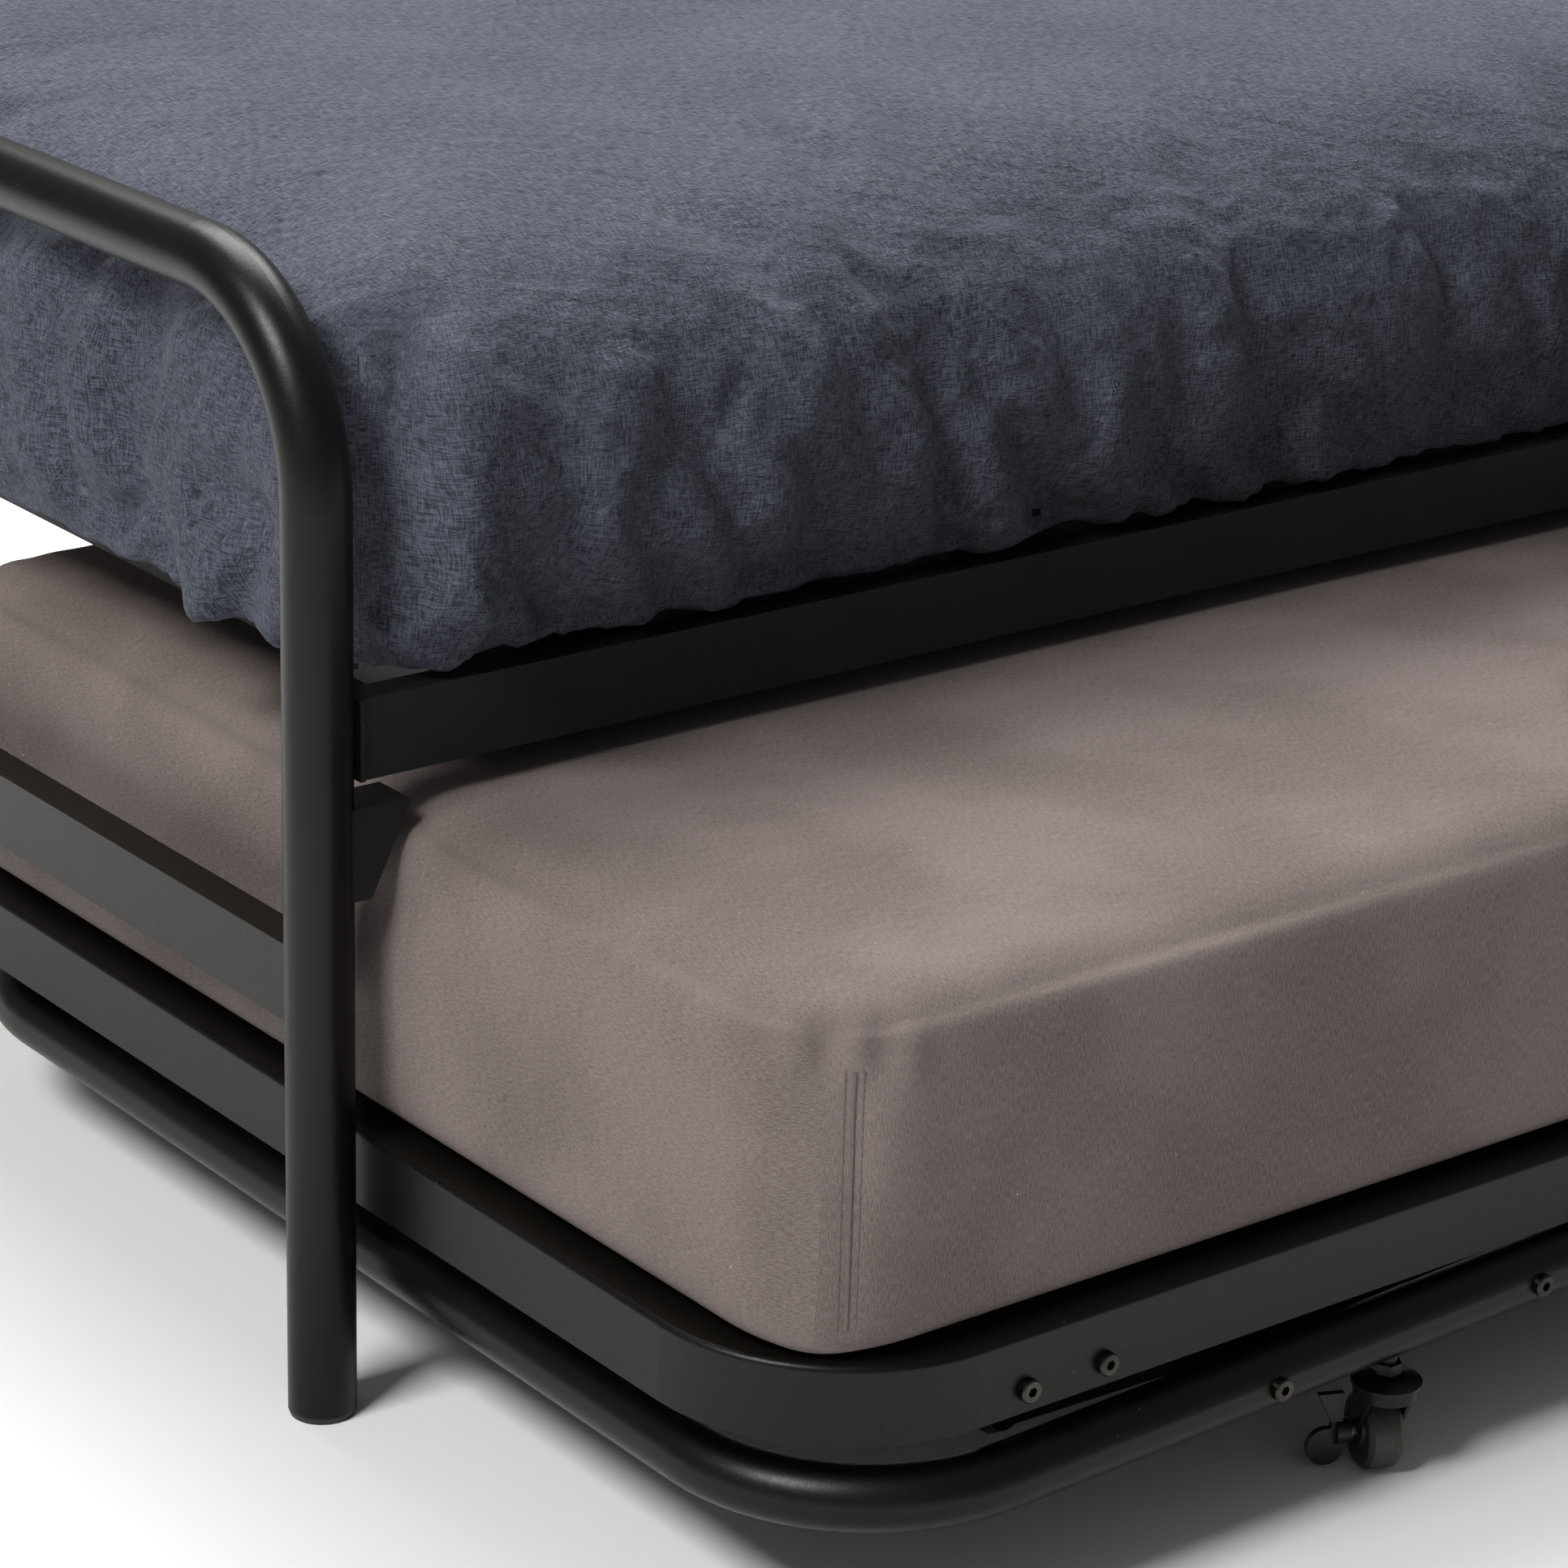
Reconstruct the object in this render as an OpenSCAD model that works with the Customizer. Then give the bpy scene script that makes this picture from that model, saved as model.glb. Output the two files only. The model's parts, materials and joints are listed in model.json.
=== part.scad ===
// Metal daybed with a rolling trundle bed underneath.
// Modules are drawn from the front left post: X runs along the bed, Y to the rear, Z up.
// in_frame() then moves everything so that the origin is the bottom centre of the whole object.

/* [Bed frame] */
// Distance between the post axes along the bed
post_axes_l = 2042; // [1700:1:2300]
// Distance between the post axes across the bed
post_axes_w = 942; // [860:1:1200]
// Outer diameter of the hoop tube
post_d = 38; // [34:1:46]
// Wall of the round tubes
tube_wall = 1.5; // [1.2:0.1:1.8]
// Height of the axis of the hoop's top bar
hoop_h = 631; // [560:1:900]
// Bend radius of the hoop at the tube's axis
hoop_bend_r = 108; // [60:1:150]
// Height of the side rail's lower face
rail_z = 369.5; // [369:0.5:400]
// Height of the side rail's section
rail_h = 45.5; // [38:0.5:60]
// Thickness of the side rail across the bed
rail_t = 20; // [16:1:24]
// Thickness of the plate at each end of a side rail
rail_plate_t = 3; // [2:0.5:4]
// Height of the lower end rail's lower face
end_rail_z = 230; // [200:1:250]
// Height of the lower end rail's section
end_rail_h = 44.5; // [30:0.5:55]
// Thickness of the lower end rail
end_rail_t = 22.4; // [18:0.2:28]
// Distance from the post axis to the base's cross rail
cross_rail_x = 107; // [60:1:150]
// Height of the base's cross rail
cross_rail_h = 40; // [25:1:40]
// Number of slats in the fixed base
base_slat_n = 12; // [8:1:16]

/* [Upper bedding] */
// Height of the upper mattress
bed_mattress_h = 170; // [140:1:190]
// Height of the duvet above the mattress, and of its tuck below
duvet_loft = 51; // [40:1:90]

/* [Trundle deck] */
// How far the trundle stands out at rest, from centred under the bed
pull_out = 406.7; // [300:0.1:480]
// From a post's axis to the deck's end, along the bed
deck_end_gap = 25; // [24:0.5:60]
// From a post's axis to the deck's front, with the trundle centred
deck_side_gap = 15; // [13:0.5:60]
// Outer corner radius of the deck frame
deck_corner_r = 115; // [90:1:140]
// Height of the deck frame's upright flange
flange_h = 44.4; // [40:0.1:54]
// Width of the deck frame's flat flange
flange_w = 30; // [22:1:40]
// Thickness of the deck frame's steel
flange_t = 2.5; // [2:0.1:3]
// Number of slats in the trundle deck
deck_slat_n = 9; // [6:1:12]
// From the trundle mattress up to the side rails
mattress_roof_gap = 14.5; // [13.5:0.5:50]

/* [Trundle base] */
// Outer diameter of the base tube
base_tube_d = 35; // [30:1:36]
// Axis of the base tube behind the deck's front face
tube_inset_front = 4; // [3:0.1:6]
// Axis of the base tube inside the deck's end face
tube_inset_end = 24.8; // [22:0.1:30]
// From the top of the wheels to the base tube's axis across the end
base_over_wheel = 35.1; // [34:0.1:50]
// Rise of the base tube from its end, in degrees
base_rise = 1.83; // [1.7:0.01:1.85]
// Length over which the base tube rises
base_rise_l = 550; // [500:1:560]
// Caster axis from the trundle's end face
caster_x = 408; // [380:1:430]
// Distance between the two bolts on each side of a caster, on the base tube
bracket_bolt_gap = 194; // [160:1:200]

/* [Casters] */
// Wheel diameter
wheel_d = 44; // [42:0.5:44]
// Wheel width
wheel_w = 20; // [16:0.5:21]
// Distance from the swivel axis to the wheel's axle
caster_trail = 12; // [10:0.5:13]
// Way the casters trail at rest, in degrees from the bed's length
caster_turn = 67; // [0:1:90]

/* [Hidden] */
$fn = 48;
eps = 0.01;
SIDES = ["front_left", "front_right", "rear_left", "rear_right"];

// clearances
slot_gap = 0.3;       // around a rail's hook in its slot
plug_gap = 0.05;      // round a plug or joiner in its tube
run_gap = 0.06;       // radial, round a pin or axle that turns
open_gap = 0.7;       // radial, at the lift links' upper pivots
side_gap = 0.2;       // between faces that turn past each other
soft_gap = 1;         // round bedding

// bed frame
post_r = post_d / 2;
bed_mid_y = post_axes_w / 2;
rail_top = rail_z + rail_h;
box_wall = 1.5;
plug_flange_h = 4;
plug_spigot_h = 18;
rail_x0 = post_r + rail_plate_t;
slat_w = 40;
slat_h = 12;
base_slat_top = rail_top - 1;
first_slat = 180;
gusset_z = end_rail_z + end_rail_h + 29.5;
gusset_h = 52;
gusset_d = 30;
gusset_wall = 3;
hook_t = 3;
hook_h = 8;
hook_drop = 5;
hook_zs = [rail_z + 11, rail_z + 29];

// bedding on the frame
duvet_x0 = post_r + 3.5;
duvet_y0 = -rail_t / 2 - 2;
duvet_side = 36;
duvet_end = 22;
bed_mattress_z = rail_top + 1.5;
duvet_z = rail_top + 2;
duvet_h = bed_mattress_h + duvet_loft;

// trundle
deck_l = post_axes_l - 2 * deck_end_gap;
deck_w = post_axes_w - 2 * deck_side_gap;
base_end_z = wheel_d + base_over_wheel;
level_z = base_end_z + base_rise_l * tan(base_rise);
sleeve_t = 3.8;
tube_r = base_tube_d / 2;
flange_bottom = level_z + tube_r + sleeve_t + side_gap;
deck_top_z = flange_bottom + flange_h;
trundle_mattress_lift = 0.5;
trundle_mattress_h = rail_z - mattress_roof_gap - deck_top_z - trundle_mattress_lift;
trundle_mid_y = bed_mid_y - pull_out;
deck_x0 = (post_axes_l - deck_l) / 2;
deck_y0 = trundle_mid_y - deck_w / 2;
deck_y1 = trundle_mid_y + deck_w / 2;
roll_r = flange_t + 1.5;
tube_x0 = deck_x0 + tube_inset_end;
tube_y0 = deck_y0 + tube_inset_front;
tube_y1 = deck_y1 - tube_inset_front;
level_x = tube_x0 + base_rise_l;
rise_l = base_rise_l / cos(base_rise);
function tube_z(x) = level_z - (level_x - x) * tan(base_rise);
knee_band_l = 24;
knee_band_t = 0.6;
knee_gap = 1;
joiner_l = 80;
sleeve_l = 34;
sleeve_x = 160;      // beyond the knee
trundle_mattress_inset = 11.5;
first_deck_slat = 300;
tube_corner_r = deck_corner_r;
caster_ax = deck_x0 + caster_x;
bolt_xs = [caster_ax - bracket_bolt_gap / 2, caster_ax + bracket_bolt_gap / 2];

// bolts and pins
bolt_r = 4;
bolt_hole_r = 4.2;
head_r = 6.5;
head_h = 4.5;
socket_r = 2.9;
socket_depth = 2.8;
head_seat = 0.6;
pin_r = 5;
pin_head_r = 8;
pin_head_h = 3;

// brackets and lift links, as distances behind the base tube's inner side
bracket_t = 5;
bracket_y = tube_y0 + tube_r;
bracket_end_r = 16;
bracket_z = tube_z(caster_ax);
link_t = 6;
link_y = bracket_y + bracket_t + side_gap;
lug_t = 4;
lug_y = link_y + link_t + side_gap;
pivot_offset = 37;
pivot_rise = 4.6;
link_reach = 289;
link_rise = 8;
// The links of both ends are parallel, so at the right end, drawn mirrored, they lie the other way.
function end_sign(side) = (side == "front_left" || side == "rear_left") ? 1 : -1;
function lower_pivot(side) = [caster_ax + end_sign(side) * pivot_offset, bracket_z + pivot_rise];
function upper_pivot(side) = lower_pivot(side) + [-end_sign(side) * link_reach, link_rise];
function deck_bolt_xs(side) = [for (d = [-10, 42]) upper_pivot(side)[0] + end_sign(side) * d];
deck_bolt_z = flange_bottom + 12.8;
link_r = 11;
link_web = 18;
plate_t = 4;

// casters
axle_z = wheel_d / 2;
axle_r = 3;
fork_gap = 1.2;
cheek_t = 2;
cheek_in = wheel_w / 2 + fork_gap;
cheek_out = cheek_in + cheek_t;
washer_h = 1.8;
collar_r = 18;
collar_z = wheel_d + 5.2;
collar_h = 6.4;
disc_z = collar_z + collar_h + side_gap;
stem_r = 5;
pedal_in = cheek_out + washer_h + side_gap;
axle_end = pedal_in + 4;

module in_frame() {
    front = tube_y0 - tube_r - head_h + head_seat;
    rear = post_axes_w + post_r;
    translate([-post_axes_l / 2, -(front + rear) / 2, 0]) children();
}
// From the left end to the right end
module right_end() translate([post_axes_l, 0, 0]) mirror([1, 0, 0]) children();
// From the front of the bed to its rear
module bed_rear() translate([0, post_axes_w, 0]) mirror([0, 1, 0]) children();
// From the front of the trundle to its rear
module trundle_rear() translate([0, 2 * trundle_mid_y, 0]) mirror([0, 1, 0]) children();
module end_of(side) {
    if (side == "front_right" || side == "rear_right") right_end() children();
    else children();
}
module bed_corner(side) {
    if (side == "rear_left" || side == "rear_right") bed_rear() end_of(side) children();
    else end_of(side) children();
}
module trundle_corner(side) {
    if (side == "rear_left" || side == "rear_right") trundle_rear() end_of(side) children();
    else end_of(side) children();
}

module tube_ring(r, wall) {
    difference() {
        circle(r);
        circle(r - wall);
    }
}
module tube_x(l, r, wall) rotate([90, 0, 90]) linear_extrude(l) tube_ring(r, wall);
module tube_y(l, r, wall) rotate([-90, 0, 0]) linear_extrude(l) tube_ring(r, wall);
module rod_y(l, r) rotate([-90, 0, 0]) cylinder(h = l, r = r);
module elbow(bend, r, wall) rotate_extrude(angle = 90) translate([bend, 0]) tube_ring(r, wall);
module box_section(size, wall, along) {
    t = [along == 0 ? -1 : wall, along == 1 ? -1 : wall, wall];
    difference() {
        cube(size);
        translate(t) cube([for (i = [0:2]) size[i] - 2 * t[i]]);
    }
}

// ---- bed frame ----
module end_hoop_left() {
    color("#2c2b2a") difference() {
        union() {
            for (y = [0, post_axes_w]) translate([0, y, plug_flange_h])
                linear_extrude(hoop_h - hoop_bend_r - plug_flange_h) tube_ring(post_r, tube_wall);
            translate([0, hoop_bend_r, hoop_h - hoop_bend_r]) rotate([90, 0, -90])
                elbow(hoop_bend_r, post_r, tube_wall);
            translate([0, post_axes_w - hoop_bend_r, hoop_h - hoop_bend_r]) rotate([90, 0, 90])
                elbow(hoop_bend_r, post_r, tube_wall);
            translate([0, hoop_bend_r, hoop_h])
                tube_y(post_axes_w - 2 * hoop_bend_r, post_r, tube_wall);
        }
        for (y = [0, post_axes_w], z = hook_zs)
            translate([0, y - hook_t / 2 - slot_gap, z - hook_drop - slot_gap])
                cube([post_r + 1, hook_t + 2 * slot_gap, hook_h + hook_drop + 2 * slot_gap]);
    }
}
module foot_plug() {
    color("#171717") {
        cylinder(h = plug_flange_h - 1, r1 = post_r - 1, r2 = post_r);
        translate([0, 0, plug_flange_h - 1]) cylinder(h = 1, r = post_r);
        translate([0, 0, plug_flange_h - eps])
            cylinder(h = plug_spigot_h, r = post_r - tube_wall - plug_gap);
    }
}
module lower_end_rail_left() {
    color("#2c2b2a") difference() {
        translate([-end_rail_t / 2, 0, end_rail_z])
            box_section([end_rail_t, post_axes_w, end_rail_h], box_wall, 1);
        for (y = [0, post_axes_w]) translate([0, y, end_rail_z - 1]) cylinder(h = end_rail_h + 2, r = post_r);
    }
}
module rail_end() {
    translate([post_r, -rail_t / 2 - 2, rail_z]) cube([rail_plate_t, rail_t + 4, rail_h]);
    for (z = hook_zs) {
        translate([post_r - 6, -hook_t / 2, z]) cube([6 + eps, hook_t, hook_h]);
        translate([post_r - 6, -hook_t / 2, z - hook_drop]) cube([3.8, hook_t, hook_drop + 1]);
    }
}
module side_rail_front() {
    color("#1d1d1e") {
        translate([rail_x0, -rail_t / 2, rail_z])
            box_section([post_axes_l - 2 * rail_x0, rail_t, rail_h], box_wall, 0);
        rail_end();
        right_end() rail_end();
    }
}
module base_cross_rail_left() {
    color("#242424") translate([cross_rail_x, rail_t / 2, rail_z])
        box_section([rail_t, post_axes_w - rail_t, cross_rail_h], box_wall, 1);
}
module base_slats() {
    last = post_axes_l - first_slat;
    color("#202020") for (i = [0:base_slat_n - 1])
        translate([first_slat - slat_w / 2 + i * (last - first_slat) / (base_slat_n - 1), rail_t / 2,
                   base_slat_top - slat_h])
            box_section([slat_w, post_axes_w - rail_t, slat_h], 1.2, 1);
}
module gusset_outline(inset) {
    reach = post_r + 29 - 1.4 * inset;
    polygon([[post_r - 10, -eps * inset], [post_r + 5 - 1.4 * inset, -eps * inset],
             [reach, gusset_h - 2 - inset], [reach, gusset_h - inset], [post_r - 10, gusset_h - inset]]);
}
module post_gusset() {
    color("#1d1d1e") difference() {
        translate([0, gusset_d / 2, gusset_z]) rotate([90, 0, 0]) linear_extrude(gusset_d) gusset_outline(0);
        translate([-eps, gusset_d / 2 - gusset_wall, gusset_z - 1]) rotate([90, 0, 0])
            linear_extrude(gusset_d - 2 * gusset_wall) translate([-2, 0]) gusset_outline(gusset_wall);
        translate([0, 0, gusset_z - 2]) cylinder(h = gusset_h + 4, r = post_r);
    }
}

// ---- bedding: plain closed bodies ----
module soft_block(size, edge, corner) {
    plan = [[corner, 0], [size[0] - corner, 0], [size[0], corner], [size[0], size[1] - corner],
            [size[0] - corner, size[1]], [corner, size[1]], [0, size[1] - corner], [0, corner]];
    function side(w) = [[edge[0], 0], [w - edge[0], 0], [w, edge[0]], [w, size[2] - edge[1]],
                        [w - edge[1], size[2]], [edge[1], size[2]], [0, size[2] - edge[1]], [0, edge[0]]];
    intersection() {
        linear_extrude(size[2]) polygon(plan);
        rotate([90, 0, 90]) linear_extrude(size[0]) polygon(side(size[1]));
        translate([0, size[1], 0]) rotate([90, 0, 0]) linear_extrude(size[1]) polygon(side(size[0]));
    }
}
module bed_mattress() {
    l = post_axes_l - 2 * (duvet_x0 + duvet_end + soft_gap);
    w = post_axes_w - 2 * (duvet_y0 + duvet_side + soft_gap);
    color("#d9d6cf") translate([duvet_x0 + duvet_end + soft_gap, duvet_y0 + duvet_side + soft_gap, bed_mattress_z])
        soft_block([l, w, bed_mattress_h], [8, 12], 30);
}
module duvet() {
    l = post_axes_l - 2 * duvet_x0;
    w = post_axes_w - 2 * duvet_y0;
    color("#4a4f5f") difference() {
        translate([duvet_x0, duvet_y0, duvet_z]) soft_block([l, w, duvet_h], [8, 55], 45);
        translate([duvet_x0 + duvet_end, duvet_y0 + duvet_side, duvet_z - 1])
            cube([l - 2 * duvet_end, w - 2 * duvet_side,
                  bed_mattress_z + bed_mattress_h + soft_gap - duvet_z + 1]);
    }
}
module trundle_mattress() {
    inset = trundle_mattress_inset;
    color("#7d7471") translate([deck_x0 + inset, deck_y0 + inset, deck_top_z + trundle_mattress_lift])
        soft_block([deck_l - 2 * inset, deck_w - 2 * inset, trundle_mattress_h], [12, 42], 50);
}

// ---- trundle base ----
module base_half() {
    run = tube_y1 - tube_y0;
    r = tube_corner_r;
    translate([level_x, 0, level_z]) rotate([0, -base_rise, 0]) translate([-rise_l, 0, 0]) {
        translate([0, tube_y0 + r, 0]) tube_y(run - 2 * r, tube_r, tube_wall);
        translate([r, tube_y0 + r, 0]) rotate([0, 0, 180]) elbow(r, tube_r, tube_wall);
        translate([r, tube_y1 - r, 0]) rotate([0, 0, 90]) elbow(r, tube_r, tube_wall);
        for (y = [tube_y0, tube_y1]) translate([r, y, 0]) tube_x(rise_l - r - knee_gap, tube_r, tube_wall);
    }
    for (y = [tube_y0, tube_y1]) {
        translate([level_x + knee_gap, y, level_z])
            tube_x(post_axes_l / 2 - level_x - knee_gap, tube_r, tube_wall);
        // A weld band joins the two runs at the knee.
        translate([level_x - knee_band_l / 2, y, level_z])
            tube_x(knee_band_l, tube_r + knee_band_t, knee_band_t + tube_wall / 2);
    }
}
module base_tube_left() {
    color("#232323") difference() {
        base_half();
        for (side = ["front_left", "rear_left"]) trundle_corner(side) {
            for (x = bolt_xs) translate([x, tube_y0 - tube_r - 1, tube_z(x)]) {
                rod_y(base_tube_d + 2, bolt_hole_r);
                rod_y(1 + head_seat, head_r + 0.2);
            }
            translate([caster_ax, tube_y0, collar_z]) cylinder(h = tube_z(caster_ax) - collar_z, r = stem_r + 0.2);
        }
    }
}
module tube_joiners() {
    color("#3a3a3a") for (y = [tube_y0, tube_y1]) translate([(post_axes_l - joiner_l) / 2, y, level_z])
        tube_x(joiner_l, tube_r - tube_wall - plug_gap, 2);
}
module rest_sleeves() {
    color("#111111") for (side = SIDES) trundle_corner(side) translate([level_x + sleeve_x, tube_y0, level_z])
        tube_x(sleeve_l, tube_r + sleeve_t, sleeve_t);
}
module base_bracket(side) {
    color("#2a2a2a") difference() {
        union() {
            translate([bolt_xs[0], bracket_y, bracket_z - bracket_end_r + 1])
                cube([bracket_bolt_gap, bracket_t, 2 * bracket_end_r - 2]);
            for (x = bolt_xs) translate([x, bracket_y, bracket_z]) rod_y(bracket_t, bracket_end_r);
        }
        for (x = bolt_xs) translate([x, bracket_y - 1, tube_z(x)]) rod_y(bracket_t + 2, bolt_r);
        translate([lower_pivot(side)[0], bracket_y - 1, lower_pivot(side)[1]]) rod_y(bracket_t + 2, pin_r);
    }
}
// Socket head bolt along +Y, with its head's underside at the origin
module socket_bolt(l) {
    rod_y(l, bolt_r);
    difference() {
        union() {
            translate([0, -head_h + 0.8, 0]) rod_y(head_h - 0.8, head_r);
            translate([0, -head_h, 0]) rotate([-90, 0, 0]) cylinder(h = 0.8, r1 = head_r - 0.8, r2 = head_r);
        }
        translate([0, -head_h - 1, 0]) rotate([-90, 0, 0]) cylinder(h = socket_depth + 1, r = socket_r, $fn = 6);
    }
}
module base_bolts() {
    seat_y = tube_y0 - tube_r + head_seat;
    color("#2f2e2d") for (side = SIDES) trundle_corner(side) for (x = bolt_xs)
        translate([x, seat_y, tube_z(x)]) socket_bolt(bracket_y + bracket_t - seat_y - 0.3);
}
module lower_link_pins() {
    color("#55534f") for (side = SIDES) trundle_corner(side)
        translate([lower_pivot(side)[0], bracket_y, lower_pivot(side)[1]]) {
            rod_y(bracket_t + link_t + 2 * side_gap, pin_r);
            translate([0, bracket_t + link_t + 2 * side_gap, 0]) rod_y(pin_head_h, pin_head_r);
        }
}
module caster_stems() {
    head_z = collar_z - pin_head_h - side_gap;
    color("#2b2b2c") for (side = SIDES) trundle_corner(side) translate([caster_ax, tube_y0, 0]) {
        translate([0, 0, head_z]) cylinder(h = pin_head_h, r = 7);
        translate([0, 0, head_z]) cylinder(h = tube_z(caster_ax) - head_z - 4, r = stem_r);
        translate([0, 0, disc_z]) cylinder(h = 2.2, r = collar_r + 1.5);
        translate([0, 0, disc_z + 2.2]) cylinder(h = 3, r1 = collar_r + 1, r2 = 9);
        translate([0, 0, disc_z + 7]) cylinder(h = 6, r = 8, $fn = 6);
    }
}

// ---- trundle deck ----
module deck_profile() {
    square([flange_t, flange_h - roll_r]);
    translate([roll_r, flange_h - flange_t]) square([flange_w - roll_r, flange_t]);
    translate([roll_r, flange_h - roll_r]) intersection() {
        tube_ring(roll_r, flange_t);
        translate([-roll_r, 0]) square(roll_r);
    }
}
module deck_frame() {
    r = deck_corner_r;
    lx = deck_l - 2 * r;
    ly = deck_w - 2 * r;
    color("#2d2c2a") difference() {
        translate([deck_x0, deck_y0, flange_bottom]) {
            for (far = [0, 1]) {
                translate([0, far * deck_w, 0]) mirror([0, far, 0]) translate([r, 0, 0])
                    rotate([90, 0, 90]) linear_extrude(lx) deck_profile();
                translate([far * deck_l, 0, 0]) mirror([far, 0, 0]) translate([0, deck_w - r, 0])
                    rotate([90, 0, 0]) linear_extrude(ly) deck_profile();
                for (back = [0, 1]) translate([far * deck_l, back * deck_w, 0]) mirror([far, 0, 0])
                    mirror([0, back, 0]) translate([r, r, 0]) rotate([0, 0, 180])
                        rotate_extrude(angle = 90) translate([r, 0]) mirror([1, 0]) deck_profile();
            }
        }
        for (side = SIDES) trundle_corner(side) for (x = deck_bolt_xs(side))
            translate([x, deck_y0 - 1, deck_bolt_z]) rod_y(flange_t + 2, bolt_hole_r);
    }
}
module deck_slats() {
    first = first_deck_slat;
    last = post_axes_l - first;
    color("#202020") for (i = [0:deck_slat_n - 1])
        translate([first - slat_w / 2 + i * (last - first) / (deck_slat_n - 1), deck_y0 + roll_r,
                   deck_top_z - flange_t - slat_h])
            box_section([slat_w, deck_w - 2 * roll_r, slat_h], 1.2, 1);
}
module deck_bracket(side) {
    inner = deck_y0 + flange_t;
    lug_w = 32;
    shelf_z = flange_bottom + 3;
    pivot = upper_pivot(side);
    bolts = deck_bolt_xs(side);
    color("#2a2a2a") difference() {
        union() {
            translate([min(bolts) - 16, inner, shelf_z]) cube([max(bolts) - min(bolts) + 32, plate_t, 26]);
            translate([pivot[0] - lug_w / 2, inner, shelf_z]) cube([lug_w, lug_y + lug_t - inner, plate_t]);
            translate([pivot[0] - lug_w / 2, lug_y, pivot[1]])
                cube([lug_w, lug_t, shelf_z + plate_t - pivot[1]]);
            translate([pivot[0], lug_y, pivot[1]]) rod_y(lug_t, lug_w / 2 - 1);
        }
        for (x = bolts) translate([x, inner - 1, deck_bolt_z]) rod_y(plate_t + 2, bolt_r);
        translate([pivot[0], lug_y - 1, pivot[1]]) rod_y(lug_t + 2, pin_r);
    }
}
module deck_bolts() {
    color("#2f2e2d") for (side = SIDES) trundle_corner(side) for (x = deck_bolt_xs(side))
        translate([x, deck_y0, deck_bolt_z]) socket_bolt(flange_t + plate_t - 0.3);
}
module upper_link_pins() {
    l = lug_t + link_t + 2 * side_gap;
    color("#55534f") for (side = SIDES) trundle_corner(side)
        translate([upper_pivot(side)[0], link_y - side_gap, upper_pivot(side)[1]]) {
            rod_y(l, pin_r);
            translate([0, -pin_head_h, 0]) rod_y(pin_head_h, pin_head_r);
        }
}
module lift_link(side) {
    start = lower_pivot(side);
    d = upper_pivot(side) - start;
    l = norm(d);
    color("#2a2a2a") translate([start[0], link_y, start[1]]) rotate([0, -atan2(d[1], d[0]), 0])
        difference() {
            union() {
                rod_y(link_t, link_r);
                translate([l, 0, 0]) rod_y(link_t, link_r);
                translate([0, 0, -link_web / 2]) cube([l, link_t, link_web]);
            }
            translate([0, -1, 0]) rod_y(link_t + 2, pin_r + run_gap);
            translate([l, -1, 0]) rod_y(link_t + 2, pin_r + open_gap);
        }
}

// ---- casters: +X trails behind the swivel axis, +Y is the pedal side ----
module at_caster(side) {
    x = (side == "front_left" || side == "rear_left") ? caster_ax : post_axes_l - caster_ax;
    y = (side == "front_left" || side == "front_right") ? tube_y0 : tube_y1;
    translate([x, y, 0]) rotate([0, 0, caster_turn]) children();
}
module caster_fork() {
    color("#202021") difference() {
        union() {
            translate([0, 0, collar_z]) cylinder(h = collar_h, r = collar_r);
            for (s = [-1, 1]) translate([0, s * (cheek_in + cheek_t / 2) - cheek_t / 2, 0]) {
                rotate([90, 0, 0]) translate([0, 0, -cheek_t]) linear_extrude(cheek_t)
                    polygon([[-10, collar_z + 1], [11, collar_z + 1], [caster_trail + 6, axle_z + 2],
                             [caster_trail - 6, axle_z + 2]]);
                translate([caster_trail, 0, axle_z]) rod_y(cheek_t, 7.5);
            }
        }
        translate([0, 0, collar_z - 1]) cylinder(h = collar_h + 2, r = stem_r + run_gap);
        translate([caster_trail, -collar_r - 1, axle_z]) rod_y(2 * collar_r + 2, axle_r);
    }
}
module caster_axle() {
    color("#4a4947") {
        translate([caster_trail, -cheek_out, axle_z]) rod_y(cheek_out + axle_end - side_gap, axle_r);
        translate([caster_trail, -cheek_out - washer_h, axle_z]) rod_y(washer_h, axle_r + 2);
        translate([caster_trail, cheek_out, axle_z]) rod_y(washer_h, axle_r + 2);
    }
}
module caster_wheel() {
    edge = 2.5;
    color("#1b1b1a") difference() {
        translate([caster_trail, -wheel_w / 2, axle_z]) rotate([-90, 0, 0]) rotate_extrude($fn = 64)
            polygon([[axle_r + run_gap, 0], [8, 0], [9, 1.5], [14, 1.5], [15, 0], [axle_z - edge, 0],
                     [axle_z, edge], [axle_z, wheel_w - edge], [axle_z - edge, wheel_w], [15, wheel_w],
                     [14, wheel_w - 1.5], [9, wheel_w - 1.5], [8, wheel_w], [axle_r + run_gap, wheel_w]]);
    }
}
module pedal_outline() {
    lobe = 11;
    neck = axle_end + 1;
    translate([neck + 8, lobe + 3]) circle(lobe);
    polygon([[neck - 1, 12], [neck + 8, 12], [neck + 5, 28], [neck + 14, 46], [neck - 1, 46]]);
}
module brake_pedal() {
    pedal_t = 4;
    color("#161616") difference() {
        union() {
            translate([caster_trail, pedal_in, axle_z]) rod_y(axle_end - pedal_in + 4, 7);
            translate([caster_trail - pedal_t / 2, 0, 0]) rotate([90, 0, 90]) linear_extrude(pedal_t)
                pedal_outline();
        }
        translate([caster_trail, pedal_in - 1, axle_z]) rod_y(axle_end - pedal_in + 1, axle_r + run_gap);
    }
}

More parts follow.
